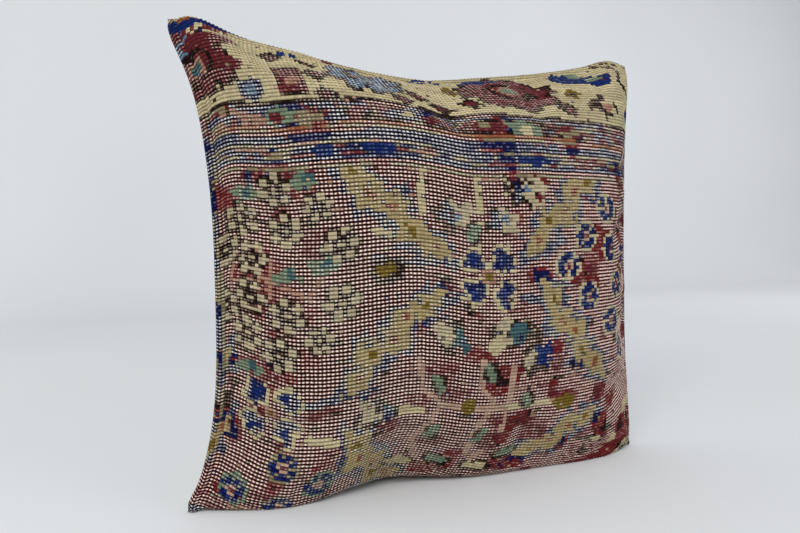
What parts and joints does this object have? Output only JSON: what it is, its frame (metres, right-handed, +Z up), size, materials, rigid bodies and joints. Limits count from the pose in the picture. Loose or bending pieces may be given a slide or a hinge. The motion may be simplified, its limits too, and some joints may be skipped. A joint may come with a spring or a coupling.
{
  "type": "throw pillow",
  "caption": "Stuffed throw pillow with a knotted-rug face, a zipped canvas back and a fibre insert, standing on its lower edge.",
  "frame": {"origin": "on the floor under the middle of the pillow's box", "axes": "+Z up, -Y out of the rug face, +X to the right as seen from the rug face"},
  "size_m": [0.45, 0.142, 0.4],
  "materials": {
    "rug_pile": "worn hand-knotted wool, matt",
    "canvas": "plain cotton canvas, matt",
    "thread": "spun polyester thread",
    "seam_thread": "spun polyester thread",
    "zipper_tape": "woven polyester tape",
    "zipper_coil": "satin nylon",
    "zipper_metal": "antique brass, brushed",
    "zipper_stop": "dull crimped metal",
    "casing": "white nonwoven cloth",
    "fibre": "white polyester fibre"
  },
  "bodies": {
    "cover": {"rug_front_panel": "rug_pile", "back_panel_upper": "canvas", "back_panel_lower": "canvas", "cover_seam_thread": "seam_thread", "zipper_tape_upper": "zipper_tape", "zipper_tape_lower": "zipper_tape", "zipper_coil_upper": "zipper_coil", "zipper_coil_lower": "zipper_coil", "zipper_top_stops": "zipper_stop", "zipper_bottom_stop": "zipper_stop", "zipper_bar_tacks": "thread", "hem_stitches_upper": "thread", "hem_stitches_lower": "thread", "insert_front_casing": "casing", "insert_back_casing": "casing", "insert_seam_thread": "thread", "fibre_fill": "fibre"},
    "slider": {"zipper_slider": "zipper_metal"},
    "pull_tab": {"zipper_pull_tab": "zipper_metal"}
  },
  "joints": [
    {"name": "slider_travel", "type": "hinge", "parent": "cover", "child": "slider", "pos_m": [0, -0.459, 0.095], "axis": [0, 0, 1], "range_deg": [0, 32.2], "deforming": ["zipper_coil_upper", "zipper_coil_lower"]},
    {"name": "pull_tab_flip", "type": "hinge", "parent": "slider", "child": "pull_tab", "pos_m": [0.14952, 0.04488, 0.095], "axis": [0, 0, -1], "range_deg": [0, 178]}
  ]
}
